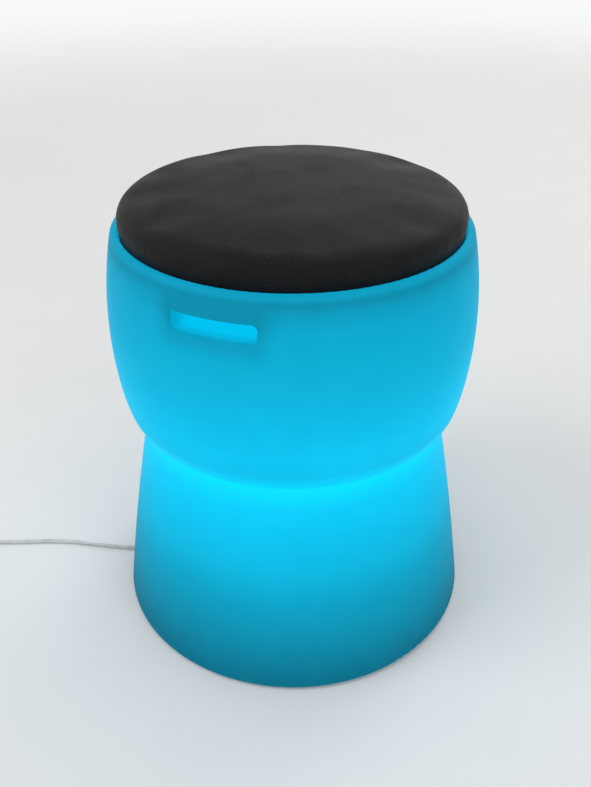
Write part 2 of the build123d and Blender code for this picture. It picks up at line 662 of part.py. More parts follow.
with BuildPart() as bulb_housing:
    with BuildSketch(Plane.XZ):
        with BuildLine():
            neck = (CAP_R + HOUSING_WALL, HOUSING_BASE)
            shoulder = (HOUSING_R, DOME_BASE)
            waist = (CAP_R + 5, (HOUSING_BASE + DOME_BASE) / 2)
            ThreePointArc(neck, waist, shoulder)
            Line(shoulder, (HOUSING_R - HOUSING_WALL, DOME_BASE))
            ThreePointArc(
                (HOUSING_R - HOUSING_WALL, DOME_BASE),
                (waist[0] - HOUSING_WALL, waist[1]),
                (CAP_R + INSERT_FIT, HOUSING_BASE),
            )
            Line((CAP_R + INSERT_FIT, HOUSING_BASE), neck)
        make_face()
    revolve(axis=Axis.Z)
save(bulb_housing.part, "bulb_housing")

with BuildPart() as driver_board:
    driver_base = LAMP_BASE + CONTACT_HEIGHT + CAP_TAPER + 1
    with Locations((0, 0, driver_base)):
        Box(DRIVER_WIDTH, DRIVER_THICK, DRIVER_HEIGHT, align=(Align.CENTER, Align.CENTER, Align.MIN))
    with BuildSketch(Plane.XZ.offset(DRIVER_THICK / 2)):
        with Locations((-DRIVER_WIDTH / 5, driver_base + DRIVER_HEIGHT / 2)):
            Rectangle(DRIVER_WIDTH / 2.5, DRIVER_HEIGHT / 3)
        with Locations((DRIVER_WIDTH / 4, driver_base + DRIVER_HEIGHT * 0.75)):
            Circle(DRIVER_WIDTH / 6)
    extrude(amount=DRIVER_PART_HEIGHT)
save(driver_board.part, "driver_board")

with BuildPart() as led_board:
    disc(HOUSING_R - LED_BOARD_INSET, DOME_BASE, DOME_BASE + LED_BOARD_THICK)
save(led_board.part, "led_board")

with BuildPart() as leds:
    with PolarLocations(LED_RING_R, LED_COUNT):
        with Locations((0, 0, DOME_BASE + LED_BOARD_THICK)):
            Box(LED_SIZE, LED_SIZE, LED_HEIGHT, align=(Align.CENTER, Align.CENTER, Align.MIN))
save(leds.part, "leds")

with BuildPart() as bulb_dome:
    with BuildSketch(Plane.XZ) as dome_section:
        with Locations((0, DOME_BASE + DOME_LIFT)):
            Circle(DOME_R)
            Circle(DOME_R - DOME_WALL, mode=Mode.SUBTRACT)
        with Locations((-DOME_R, DOME_BASE + DOME_LIFT)):
            Rectangle(2 * DOME_R, 4 * DOME_R, mode=Mode.SUBTRACT)
        with Locations((0, DOME_BASE - 2 * DOME_R)):
            Rectangle(4 * DOME_R, 4 * DOME_R, mode=Mode.SUBTRACT)
    revolve(axis=Axis.Z)
save(bulb_dome.part, "bulb_dome")

# ---- lead, grommet, clamp and cores ----
def corner_radii(points):
    """The largest comfortable radius at each corner of a route."""
    radii = []
    for before, corner, after in zip(points, points[1:], points[2:]):
        run_in = Vector(*corner) - Vector(*before)
        run_out = Vector(*after) - Vector(*corner)
        half_turn = math.radians(run_in.get_angle(run_out)) / 2
        radii.append(0.45 * min(run_in.length, run_out.length) / math.tan(half_turn))
    return radii


def cord_tube(points, radii, radius=CORD_D / 2):
    """A round tube along a route with rounded corners."""
    with BuildPart() as tube:
        with BuildLine() as path:
            FilletPolyline(*points, radius=radii)
        route = path.wires()[0]
        with BuildSketch(Plane(origin=route @ 0, z_dir=route % 0)):
            Circle(radius)
        sweep()
    straight = math.pi * radius**2 * route.length
    print("tube", round(route.length, 1), "mm, volume over section x length", round(tube.part.volume / straight, 4))
    return tube.part


lead_points = [
    Vector(*FLEX_ROUTE[0]),
    around(GROMMET_AT, CORD_ANGLE, FLOOR_Z),
    around(GROMMET_AT, CORD_ANGLE, LEAD_LEVEL_Z),
    Vector(0, 0, LEAD_LEVEL_Z),
    Vector(0, 0, HOLDER_BASE + HOLDER_WALL + LEAD_PROUD),
]
lead_in = cord_tube(lead_points, [LEAD_BEND_R] * 3)
save(lead_in, "lead_in")

with BuildPart() as core_leads:
    sheath_end = lead_points[-1]
    for place in core_places():
        start = sheath_end + place.normalized() * (CORE_R + LEAD_FIT)
        below_block = Vector(place.X, place.Y, SKIRT_BASE - CORE_STRAIGHT)
        with BuildLine() as core_path:
            FilletPolyline(
                start,
                start + Vector(0, 0, CORE_STRAIGHT),
                below_block,
                Vector(place.X, place.Y, SKIRT_BASE + CORE_DEPTH),
                radius=CORE_BEND_R,
            )
        with BuildSketch(Plane(origin=start, z_dir=(0, 0, 1))):
            Circle(CORE_R)
        sweep(path=core_path.wires()[0])
save(core_leads.part, "core_leads")

with BuildPart() as cord_grommet:
    with Locations(around(GROMMET_AT, CORD_ANGLE)):
        disc(GROMMET_FLANGE_R, PLATE_BOTTOM - GROMMET_FLANGE, PLATE_BOTTOM)
        disc(GROMMET_HOLE_R - INSERT_FIT, PLATE_BOTTOM, PLATE_TOP)
        disc(GROMMET_FLANGE_R, PLATE_TOP, PLATE_TOP + GROMMET_FLANGE)
        disc(CORD_D / 2 + INSERT_FIT, PLATE_BOTTOM - 3, PLATE_TOP + 3, Mode.SUBTRACT)
save(cord_grommet.part, "cord_grommet")

with BuildPart() as cord_clamp:
    clamp_bottom = LEAD_LEVEL_Z + CLAMP_SPLIT / 2
    with Locations(Plane(around(0, 0, clamp_bottom), x_dir=around(1, CORD_ANGLE))):
        with Locations((CLAMP_AT, 0, 0)):
            Box(CLAMP_DEPTH, CLAMP_LENGTH, CLAMP_HEIGHT, align=(Align.CENTER, Align.CENTER, Align.MIN))
    fillet(cord_clamp.edges().group_by(Axis.Z)[-1], CLAMP_HEIGHT / 4)
    with BuildSketch(Plane(around(0, CORD_ANGLE, LEAD_LEVEL_Z), z_dir=around(1, CORD_ANGLE))):
        Circle(CORD_D / 2 + LEAD_FIT)
    extrude(amount=GROMMET_AT, mode=Mode.SUBTRACT)
    with Locations(*clamp_screw_places()):
        disc(CLAMP_SCREW_R + SCREW_HOLE_CLEARANCE, clamp_bottom - 1, clamp_bottom + CLAMP_HEIGHT + 1, Mode.SUBTRACT)
save(cord_clamp.part, "cord_clamp")

with BuildPart() as clamp_screws:
    clamp_top = clamp_bottom + CLAMP_HEIGHT
    clamp_screw = screw(
        CLAMP_SCREW_R * 2, CLAMP_SCREW_R, CLAMP_SCREW_R - INSERT_FIT, clamp_top - SADDLE_Z + CLAMP_SCREW_DEPTH - 1
    )
    with Locations(*[place + Vector(0, 0, clamp_top) for place in clamp_screw_places()]):
        add(clamp_screw, rotation=(180, 0, 0))
save(clamp_screws.part, "clamp_screws")

# ---- seat ----
SEAT_BOTTOM = TRAY_Z + SEAT_REST_GAP
SEAT_R = TRAY_R - SEAT_CLEARANCE
STAPLE_AT = SEAT_R - COVER_TURN_UNDER / 2


def seat_face(inset, bottom):
    """Half section of the padded seat with every side moved in by inset."""
    side_r = SEAT_R - inset
    top = (0, SEAT_HEIGHT - inset)
    shoulder = (SEAT_R - SEAT_SHOULDER_INSET, SEAT_HEIGHT - SEAT_SHOULDER_DROP - inset)
    widest = (side_r + SEAT_BULGE, LIP_CREST_Z + SEAT_BULGE_RISE)
    with BuildSketch() as section:
        with BuildLine():
            crown = TangentArc(top, shoulder, tangent=(1, 0))
            round_edge = TangentArc(shoulder, widest, tangent=crown % 1)
            TangentArc(widest, (side_r, LIP_CREST_Z), tangent=round_edge % 1)
            Polyline((side_r, LIP_CREST_Z), (side_r, bottom), (0, bottom), top)
        make_face()
    return section.sketch


board_bottom = SEAT_BOTTOM + COVER_THICK + COVER_FIT
board_top = board_bottom + BOARD_THICK
board_r = SEAT_R - COVER_THICK - COVER_FIT

with BuildPart() as seat_foam:
    with BuildSketch(Plane.XZ):
        add(seat_face(COVER_THICK + COVER_FIT, board_top))
    revolve(axis=Axis.Z)
save(seat_foam.part, "seat_foam")

with BuildPart() as seat_cover:
    with BuildSketch(Plane.XZ):
        add(seat_face(0, SEAT_BOTTOM))
        add(seat_face(COVER_THICK, SEAT_BOTTOM + COVER_THICK), mode=Mode.SUBTRACT)
        with Locations(((SEAT_R - COVER_TURN_UNDER) / 2, SEAT_BOTTOM)):
            Rectangle(SEAT_R - COVER_TURN_UNDER, COVER_THICK * 4, mode=Mode.SUBTRACT)
    revolve(axis=Axis.Z)
    fillet(seat_cover.edges().group_by(Axis.Z)[0].sort_by(SortBy.LENGTH)[-1], COVER_THICK)
    with PolarLocations(STAPLE_AT, STAPLE_COUNT):
        with Locations((0, 0, SEAT_BOTTOM)):
            Box(
                STAPLE_WIRE + 2 * COVER_FIT,
                STAPLE_SPAN + 2 * COVER_FIT,
                COVER_THICK * 3,
                align=(Align.CENTER, Align.CENTER, Align.CENTER),
                mode=Mode.SUBTRACT,
            )
save(seat_cover.part, "seat_cover")

with BuildPart() as cover_staples:
    upward = (Align.CENTER, Align.CENTER, Align.MIN)
    leg_reach = (STAPLE_SPAN - STAPLE_WIRE) / 2
    with PolarLocations(STAPLE_AT, STAPLE_COUNT):
        with Locations((0, 0, SEAT_BOTTOM)):
            Box(STAPLE_WIRE, STAPLE_SPAN, STAPLE_WIRE, align=upward)
        with Locations((0, leg_reach, SEAT_BOTTOM), (0, -leg_reach, SEAT_BOTTOM)):
            Box(STAPLE_WIRE, STAPLE_WIRE, STAPLE_LEG, align=upward)
save(cover_staples.part, "cover_staples")

with BuildPart() as seat_board:
    disc(board_r, board_bottom, board_top)
    fillet(seat_board.edges().group_by(Axis.Z)[0], 1)
    add(cover_staples.part, mode=Mode.SUBTRACT)
save(seat_board.part, "seat_board")

# ---- flex, coil, tie, tail and plug ----
flex_radii = corner_radii(FLEX_ROUTE)
print("flex radii", [round(r) for r in flex_radii])
flex = cord_tube(FLEX_ROUTE, flex_radii)
save(flex, "flex")


def half_turn(start, direction, radius):
    """A level half turn to the left from start."""
    left = direction.rotate(Axis.Z, 90)
    return ThreePointArc(start, start + (left + direction) * radius, start + left * 2 * radius)


def climbing_half_turn(start, direction, radius):
    """A half turn to the left that climbs one layer, as two arcs."""
    end = start + direction.rotate(Axis.Z, 90) * 2 * radius + Vector(0, 0, COIL_PITCH)
    chord = end - start
    middle = (start + end) / 2 + direction * (chord.length / 2)
    TangentArc(start, middle, tangent=direction)
    return TangentArc(middle, end, tangent=chord.normalized())


heading = around(1, COIL_HEADING)
coil_start = Vector(*FLEX_ROUTE[-1])
ring_radii = [COIL_START_R - step * COIL_PITCH / 2 for step in range(COIL_TURNS_IN)]
inner_climb_r = ring_radii[-1] - COIL_PITCH / 2
outer_climb_r = COIL_START_R + COIL_PITCH / 2

with BuildLine() as coil_path:
    arc = Line(coil_start, coil_start + heading * CORD_D)
    for layer in range(4):
        inward = layer % 2 == 0
        layer_radii = ring_radii if inward else ring_radii[::-1]
        if layer == 3:
            layer_radii = layer_radii[:-1]
        for radius in layer_radii:
            arc = half_turn(arc @ 1, arc % 1, radius)
        if layer < 3:
            arc = climbing_half_turn(arc @ 1, arc % 1, inner_climb_r if inward else outer_climb_r)
    last_left = (arc % 1).rotate(Axis.Z, 90)
    quarter_end = (arc @ 1) + (last_left + arc % 1) * COIL_START_R
    arc = TangentArc(arc @ 1, quarter_end, tangent=arc % 1)
    arc = Line(arc @ 1, (arc @ 1) + (arc % 1) * CORD_D)
tail_start = arc @ 1
tail_heading = arc % 1
coil_wire = coil_path.wires()[0]

with BuildPart() as flex_coil:
    with BuildSketch(Plane(origin=coil_start, z_dir=heading)):
        Circle(CORD_D / 2)
    sweep(path=coil_wire)
save(flex_coil.part, "flex_coil")


def least_gap(wire, step, skip):
    """Least gap between parts of the coil more than skip apart along it."""
    count = int(wire.length / step)
    points = [tuple(wire @ (i / count)) for i in range(count + 1)]
    apart = int(skip / step)
    near = min(math.dist(points[i], points[j]) for i in range(count + 1) for j in range(i + apart, count + 1))
    return near - CORD_D


print("coil", round(coil_wire.length), "mm, least gap", round(least_gap(coil_wire, CORD_D / 4, 2 * COIL_START_R), 2))
coil_volume = math.pi * (CORD_D / 2) ** 2 * coil_wire.length
print("coil volume over section x length", round(flex_coil.part.volume / coil_volume, 4))

# The tie goes round the bundle on the side where the flex comes from, clear of the flex itself.
left = heading.rotate(Axis.Z, 90)
tie_centre = coil_start + heading * CORD_D + left * (COIL_START_R - COIL_PITCH / 2)
tie_inner = ring_radii[-1] - CORD_D / 2 - TIE_SLACK
tie_outer = outer_climb_r + CORD_D / 2 + TIE_GAP
tie_plane = Plane(origin=Vector(tie_centre.X, tie_centre.Y, 0), x_dir=-heading, z_dir=left)
with BuildPart() as coil_tie:
    with BuildSketch(tie_plane):
        with Locations(((tie_inner + tie_outer) / 2, (COIL_Z + COIL_TOP_Z) / 2)):
            width = tie_outer - tie_inner
            height = COIL_TOP_Z - COIL_Z + CORD_D + 2 * TIE_GAP
            RectangleRounded(width + 2 * TIE_THICK, height + 2 * TIE_THICK, CORD_D / 2 + TIE_THICK)
            RectangleRounded(width, height, CORD_D / 2, mode=Mode.SUBTRACT)
    extrude(amount=TIE_WIDTH / 2, both=True)
save(coil_tie.part, "coil_tie")

TAIL_ROUTE = [
    Vector(tail_start.X, tail_start.Y, 0) + tail_heading * along + Vector(0, 0, height) for along, height in TAIL_DROP
]
tail_radii = corner_radii(TAIL_ROUTE)
print("tail radii", [round(r) for r in tail_radii])
flex_tail = cord_tube(TAIL_ROUTE, tail_radii)
save(flex_tail, "flex_tail")

boot_start = TAIL_ROUTE[-1]
body_start = boot_start + tail_heading * BOOT_LENGTH
face_centre = body_start + tail_heading * PLUG_LENGTH
with BuildPart() as plug_body:
    with BuildSketch(Plane(origin=body_start, x_dir=tail_heading, z_dir=(0, 0, 1))) as plug_outline:
        with BuildLine():
            Polyline(
                (0, 0),
                (0, BOOT_R + 2),
                (PLUG_LENGTH * 0.28, PLUG_WIDTH * 0.34),
                (PLUG_LENGTH * 0.62, PLUG_WIDTH / 2),
                (PLUG_LENGTH * 0.8, PLUG_WIDTH / 2),
                (PLUG_LENGTH, PLUG_FACE_WIDTH / 2),
                (PLUG_LENGTH, 0),
                close=True,
            )
        make_face()
        mirror(about=Plane.XZ)
        side_corners = plug_outline.vertices().filter_by(lambda v: abs(v.Y) > PLUG_WIDTH / 4)
        fillet(side_corners, PLUG_CORNER_R)
    extrude(amount=PLUG_THICK / 2, both=True)
    flat_edges = plug_body.edges().group_by(Axis.Z)[0] + plug_body.edges().group_by(Axis.Z)[-1]
    fillet(flat_edges, PLUG_EDGE_R)
    with BuildSketch(Plane(origin=body_start + tail_heading * 2, z_dir=-tail_heading)):
        Circle(BOOT_R)
    extrude(amount=BOOT_LENGTH + 2, taper=BOOT_TAPER)
save(plug_body.part, "plug_body")

pin_places = [
    face_centre + tail_heading.rotate(Axis.Z, 90) * (PIN_PITCH / 2),
    face_centre - tail_heading.rotate(Axis.Z, 90) * (PIN_PITCH / 2),
]
with BuildPart() as pin_sleeves:
    for place in pin_places:
        with BuildSketch(Plane(origin=place, z_dir=tail_heading)):
            Circle(PIN_R)
            Circle(PIN_R - PIN_SLEEVE_WALL, mode=Mode.SUBTRACT)
        extrude(amount=PIN_SLEEVE_LENGTH)
save(pin_sleeves.part, "pin_sleeves")

with BuildPart() as plug_pins:
    for place in pin_places:
        with BuildSketch(Plane(origin=place, z_dir=tail_heading)):
            Circle(PIN_R - PIN_SLEEVE_WALL - INSERT_FIT)
        extrude(amount=PIN_SLEEVE_LENGTH)
        with BuildSketch(Plane(origin=place + tail_heading * PIN_SLEEVE_LENGTH, z_dir=tail_heading)):
            Circle(PIN_R)
        extrude(amount=PIN_LENGTH - PIN_SLEEVE_LENGTH)
    tips = plug_pins.edges().sort_by(lambda edge: (edge.center() - face_centre).dot(tail_heading))[-2:]
    fillet(tips, PIN_R * 0.6)
save(plug_pins.part, "plug_pins")
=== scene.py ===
import json
import math

import bmesh
import bpy
from mathutils import Matrix, Vector, noise


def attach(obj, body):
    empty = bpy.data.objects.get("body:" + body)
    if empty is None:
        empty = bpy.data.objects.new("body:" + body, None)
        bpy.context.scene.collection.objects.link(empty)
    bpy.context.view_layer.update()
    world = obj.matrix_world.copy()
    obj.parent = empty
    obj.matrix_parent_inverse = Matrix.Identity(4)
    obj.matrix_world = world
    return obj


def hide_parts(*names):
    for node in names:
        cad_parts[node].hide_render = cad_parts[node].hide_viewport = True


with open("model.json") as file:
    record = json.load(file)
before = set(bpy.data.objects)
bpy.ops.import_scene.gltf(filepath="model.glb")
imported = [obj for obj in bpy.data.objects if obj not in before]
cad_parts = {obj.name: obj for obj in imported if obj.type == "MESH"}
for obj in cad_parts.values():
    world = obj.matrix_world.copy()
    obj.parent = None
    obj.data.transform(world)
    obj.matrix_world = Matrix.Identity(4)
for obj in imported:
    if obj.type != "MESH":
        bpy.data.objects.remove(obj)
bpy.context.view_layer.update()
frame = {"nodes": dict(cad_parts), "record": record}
NODES = frame["nodes"]

MM = 0.001

# ---- camera ----
CAMERA_AT = (0.2847, -0.6839, 0.700)
CAMERA_TURN = 22.43       # degrees about +Z
CAMERA_TILT = 57.61       # degrees up from looking straight down
CAMERA_ROLL = -0.16
CAMERA_LENS = 39.0


def turn(degrees, axis):
    return Matrix.Rotation(math.radians(degrees), 4, axis)


camera_data = bpy.data.cameras.new("camera")
camera_data.lens = CAMERA_LENS
camera = bpy.data.objects.new("camera", camera_data)
camera.matrix_world = (
    Matrix.Translation(CAMERA_AT) @ turn(CAMERA_TURN, "Z") @ turn(CAMERA_TILT, "X") @ turn(CAMERA_ROLL, "Z")
)
bpy.context.scene.collection.objects.link(camera)
bpy.context.scene.camera = camera
bpy.context.scene.view_settings.view_transform = "Standard"


# ---- building blocks for materials ----
def new_material(name, color, roughness, metallic=0.0, specular=0.5):
    """A Principled material. Returns it with its node tree and its shader."""
    material = bpy.data.materials.new(name)
    material.use_nodes = True
    tree = material.node_tree
    shader = tree.nodes["Principled BSDF"]
    shader.inputs["Base Color"].default_value = (*color, 1)
    shader.inputs["Roughness"].default_value = roughness
    shader.inputs["Metallic"].default_value = metallic
    shader.inputs["Specular IOR Level"].default_value = specular
    return material, tree, shader


def link_or_set(tree, socket, value):
    if isinstance(value, bpy.types.NodeSocket):
        tree.links.new(value, socket)
    else:
        socket.default_value = value


def calc(tree, operation, first, second=0.0, third=0.0, clamp=False):
    """A Math node's result."""
    node = tree.nodes.new("ShaderNodeMath")
    node.operation = operation
    node.use_clamp = clamp
    for socket, value in zip(node.inputs, (first, second, third)):
        link_or_set(tree, socket, value)
    return node.outputs[0]


def fade(tree, value, start, end, low=0.0, high=1.0):
    """Runs smoothly from low, where value is start, to high, where it is end."""
    node = tree.nodes.new("ShaderNodeMapRange")
    node.interpolation_type = "SMOOTHSTEP"
    names = ("Value", "From Min", "From Max", "To Min", "To Max")
    for name, setting in zip(names, (value, start, end, low, high)):
        link_or_set(tree, node.inputs[name], setting)
    return node.outputs[0]


def hypotenuse(tree, first, second):
    """The length of a step that has these two parts."""
    squares = calc(tree, "ADD", calc(tree, "MULTIPLY", first, first), calc(tree, "MULTIPLY", second, second))
    return calc(tree, "SQRT", squares)


def object_axes(tree):
    """The place on the object: its x, y and z sockets and the vector itself."""
    place = tree.nodes.new("ShaderNodeTexCoord").outputs["Object"]
    split = tree.nodes.new("ShaderNodeSeparateXYZ")
    tree.links.new(place, split.inputs[0])
    return (*split.outputs, place)


def speckle(tree, place, per_metre, detail=3.0, roughness=0.55, stretch=(1, 1, 1)):
    """A Noise texture's value, with its grain set in cells per metre."""
    mapping = tree.nodes.new("ShaderNodeMapping")
    mapping.inputs["Scale"].default_value = stretch
    tree.links.new(place, mapping.inputs["Vector"])
    node = tree.nodes.new("ShaderNodeTexNoise")
    node.inputs["Scale"].default_value = per_metre
    node.inputs["Detail"].default_value = detail
    node.inputs["Roughness"].default_value = roughness
    tree.links.new(mapping.outputs[0], node.inputs["Vector"])
    return node.outputs[0]


def blend_colors(tree, share, first, second):
    node = tree.nodes.new("ShaderNodeMix")
    node.data_type = "RGBA"
    link_or_set(tree, node.inputs["Factor"], share)
    for name, tone in (("A", first), ("B", second)):
        is_socket = isinstance(tone, bpy.types.NodeSocket)
        link_or_set(tree, node.inputs[name], tone if is_socket else (*tone, 1))
    return node.outputs["Result"]


def bump(tree, shader, height, strength, depth):
    node = tree.nodes.new("ShaderNodeBump")
    node.inputs["Strength"].default_value = strength
    node.inputs["Distance"].default_value = depth
    tree.links.new(height, node.inputs["Height"])
    tree.links.new(node.outputs[0], shader.inputs["Normal"])


def shine(tree, shader, hue, level):
    """Makes a shader give off light of one hue, at the level that a socket says."""
    tint = tree.nodes.new("ShaderNodeVectorMath")
    tint.operation = "SCALE"
    tint.inputs[0].default_value = hue
    tree.links.new(level, tint.inputs["Scale"])
    tree.links.new(tint.outputs[0], shader.inputs["Emission Color"])
    shader.inputs["Emission Strength"].default_value = 1.0


def mottled(name, color, darker, roughness, grain, relief, metallic=0.0, specular=0.5, stretch=(1, 1, 1)):
    """A material with slight clouds of a darker tone, an uneven gloss and a fine surface grain."""
    material, tree, shader = new_material(name, color, roughness, metallic, specular)
    place = object_axes(tree)[3]
    clouds = fade(tree, speckle(tree, place, grain / 8, 4, stretch=stretch), 0.35, 0.7)
    fine = speckle(tree, place, grain, 2, stretch=stretch)
    tree.links.new(blend_colors(tree, clouds, color, darker), shader.inputs["Base Color"])
    gloss = fade(tree, clouds, 0, 1, roughness * 0.9, min(1, roughness * 1.15))
    tree.links.new(gloss, shader.inputs["Roughness"])
    bump(tree, shader, fine, 0.35, relief)
    return material


# ---- the glowing shell ----
GLOW_HUE = (0.0, 0.63, 1.0)
PLASTIC = (0.004, 0.075, 0.115)
# Height in metres, and how bright the plastic glows there: a painted glow standing in for the lamp's light
# through the shell. The lamp stands at the waist's level.
GLOW_STEPS = [
    (0.010, 0.15),
    (0.060, 0.32),
    (0.100, 0.45),
    (0.135, 0.64),
    (0.200, 0.87),
    (0.222, 1.14),
    (0.236, 0.95),
    (0.250, 0.76),
    (0.270, 0.80),
    (0.340, 0.60),
    (0.390, 0.50),
    (0.404, 0.42),
    # painted shade just under the lip, where the tray holds the light back, then a painted highlight on the
    # lip's top
    (0.4125, 0.30),
    (0.4165, 0.41),
    (0.4195, 0.44),
]
GRIP_HALF_WIDTH = 0.036
GRIP_BOTTOM_Z = 0.3785
GRIP_TOP_Z = 0.3965
GRIP_HALO = 0.021         # how far the shade round a grip reaches
GRIP_SHADE = 0.20
GRIP_SHADE_ABOVE = 0.13
GRIP_INSIDE_GAIN = 0.27
RAMP_CEILING = 2.0        # a ramp's colours end at 1, so it holds each level as a share of this
# Each pair is where a fade starts and where it ends, in metres.
GRIP_SIDE_Y = (0.10, 0.13)
OUTER_SKIN_R = (0.1650, 0.1675)
SCOOP_R = (0.170, 0.152)
SCOOP_END_X = (GRIP_HALF_WIDTH + 0.003, GRIP_HALF_WIDTH - 0.005)
SCOOP_ROOF_Z = (0.4045, 0.4025)
SCOOP_FLOOR_Z = (0.372, 0.376)


def glow_material():
    material, tree, shader = new_material("glow_shell", PLASTIC, 0.5, specular=0.02)
    x, y, z, place = object_axes(tree)
    ramp_top = GLOW_STEPS[-1][0]
    ramp = tree.nodes.new("ShaderNodeValToRGB")
    ramp.color_ramp.interpolation = "LINEAR"
    stops = ramp.color_ramp.elements
    while len(stops) < len(GLOW_STEPS):
        stops.new(0.5)
    for stop, (height, level) in zip(stops, GLOW_STEPS):
        stop.position = height / ramp_top
        share = level / RAMP_CEILING
        stop.color = (share, share, share, 1)
    tree.links.new(calc(tree, "DIVIDE", z, ramp_top), ramp.inputs[0])
    level = calc(tree, "MULTIPLY", ramp.outputs[0], RAMP_CEILING)

    # Painted shade round each grip, where the double wall holds light back, and a painted brighter glow on
    # the thin floor of the scoop, which lets it through.
    reach_x = calc(tree, "ABSOLUTE", x)
    on_side = fade(tree, calc(tree, "ABSOLUTE", y), *GRIP_SIDE_Y)
    radius = hypotenuse(tree, x, y)
    outside = fade(tree, radius, *OUTER_SKIN_R)
    past_end = calc(tree, "MAXIMUM", calc(tree, "SUBTRACT", reach_x, GRIP_HALF_WIDTH), 0.0)
    under = calc(tree, "SUBTRACT", GRIP_BOTTOM_Z, z)
    over = calc(tree, "SUBTRACT", z, GRIP_TOP_Z)
    past_edge = calc(tree, "MAXIMUM", calc(tree, "MAXIMUM", under, over), 0.0)
    halo = fade(tree, hypotenuse(tree, past_end, past_edge), 0.0, GRIP_HALO, GRIP_SHADE, 0.0)
    above = fade(tree, z, GRIP_BOTTOM_Z, GRIP_TOP_Z, 0.0, GRIP_SHADE_ABOVE)
    above = calc(tree, "MULTIPLY", above, fade(tree, past_end, GRIP_HALO, 0.0))
    shade = calc(tree, "MULTIPLY", calc(tree, "ADD", halo, above), calc(tree, "MULTIPLY", on_side, outside))
    inside = calc(tree, "MULTIPLY", on_side, fade(tree, radius, *SCOOP_R))
    for distance, limits in ((reach_x, SCOOP_END_X), (z, SCOOP_ROOF_Z), (z, SCOOP_FLOOR_Z)):
        inside = calc(tree, "MULTIPLY", inside, fade(tree, distance, *limits))
    gain = calc(tree, "MULTIPLY", inside, GRIP_INSIDE_GAIN)
    lit = calc(tree, "MULTIPLY", level, calc(tree, "SUBTRACT", 1.0, shade))
    lit = calc(tree, "ADD", lit, gain)

    # The moulding's wall varies a little in thickness, so the glow is faintly cloudy.
    clouds = fade(tree, speckle(tree, place, 9, 3), 0.3, 0.7, 0.975, 1.025)
    shine(tree, shader, GLOW_HUE, calc(tree, "MULTIPLY", lit, clouds))
    tone = fade(tree, speckle(tree, place, 40, 3), 0.35, 0.7)
    brighter = tuple(channel * 1.15 for channel in PLASTIC)
    tree.links.new(blend_colors(tree, tone, PLASTIC, brighter), shader.inputs["Base Color"])
    bump(tree, shader, speckle(tree, place, 900, 2), 0.12, 0.0003)
    return material


# ---- other materials ----
PLY_THICK = 0.0009
DOME_BASE_Z = 0.154
DOME_TOP_Z = 0.190
DOME_HUE = (0.03, 0.68, 1.0)


def vinyl_material():
    material, tree, shader = new_material("seat_vinyl", (0.010, 0.0105, 0.012), 0.5, specular=0.08)
    place = object_axes(tree)[3]
    cells = tree.nodes.new("ShaderNodeTexVoronoi")
    cells.feature = "DISTANCE_TO_EDGE"
    cells.inputs["Scale"].default_value = 620
    cells.inputs["Randomness"].default_value = 0.9
    warp = speckle(tree, place, 240, 3)
    nudge = tree.nodes.new("ShaderNodeVectorMath")
    nudge.operation = "MULTIPLY_ADD"
    nudge.inputs[1].default_value = (0.002, 0.002, 0.002)
    tree.links.new(warp, nudge.inputs[0])
    tree.links.new(place, nudge.inputs[2])
    tree.links.new(nudge.outputs[0], cells.inputs["Vector"])
    grain = fade(tree, cells.outputs["Distance"], 0.0, 0.14)
    wear = fade(tree, speckle(tree, place, 14, 4), 0.38, 0.68)
    dark = blend_colors(tree, wear, (0.008, 0.0085, 0.0095), (0.0105, 0.0110, 0.0125))
    tree.links.new(blend_colors(tree, grain, (0.003, 0.003, 0.0035), dark), shader.inputs["Base Color"])
    tree.links.new(fade(tree, wear, 0, 1, 0.46, 0.54), shader.inputs["Roughness"])
    height = calc(tree, "ADD", calc(tree, "MULTIPLY", grain, 0.7), calc(tree, "MULTIPLY", warp, 0.5))
    bump(tree, shader, height, 0.45, 0.00035)
    return material


def wood_material():
    """Plywood: face grain along X, and thin plies round the edge."""
    material, tree, shader = new_material("plywood", (0.60, 0.43, 0.26), 0.7)
    z, place = object_axes(tree)[2:]
    grain = speckle(tree, place, 60, 5, 0.7, stretch=(0.12, 1, 1))
    plies = fade(tree, calc(tree, "PINGPONG", z, PLY_THICK), 0.0002, 0.0006)
    face = blend_colors(tree, fade(tree, grain, 0.3, 0.7), (0.66, 0.49, 0.30), (0.45, 0.29, 0.16))
    layered = blend_colors(tree, calc(tree, "MULTIPLY", plies, 0.35), face, (0.36, 0.22, 0.12))
    tree.links.new(layered, shader.inputs["Base Color"])
    bump(tree, shader, grain, 0.3, 0.0003)
    return material


def circuit_material():
    material, tree, shader = new_material("circuit_board", (0.02, 0.16, 0.06), 0.35)
    place = object_axes(tree)[3]
    tracks = tree.nodes.new("ShaderNodeTexBrick")
    tracks.inputs["Scale"].default_value = 260
    tracks.inputs["Mortar Size"].default_value = 0.03
    tracks.inputs["Color1"].default_value = (0.02, 0.17, 0.07, 1)
    tracks.inputs["Color2"].default_value = (0.02, 0.13, 0.05, 1)
    tracks.inputs["Mortar"].default_value = (0.05, 0.26, 0.10, 1)
    tree.links.new(place, tracks.inputs["Vector"])
    tree.links.new(tracks.outputs["Color"], shader.inputs["Base Color"])
    bump(tree, shader, speckle(tree, place, 700), 0.2, 0.0002)
    return material


def lit_dome_material():
    material, tree, shader = new_material("opal_dome", (0.30, 0.55, 0.62), 0.35)
    z, place = object_axes(tree)[2:]
    rise = fade(tree, z, DOME_BASE_Z, DOME_TOP_Z, 0.7, 1.1)
    haze = fade(tree, speckle(tree, place, 60), 0.3, 0.7, 0.96, 1.04)
    shine(tree, shader, DOME_HUE, calc(tree, "MULTIPLY", rise, haze))
    opal = blend_colors(tree, haze, (0.28, 0.52, 0.60), (0.32, 0.58, 0.66))
    tree.links.new(opal, shader.inputs["Base Color"])
    bump(tree, shader, speckle(tree, place, 500), 0.1, 0.0002)
    return material


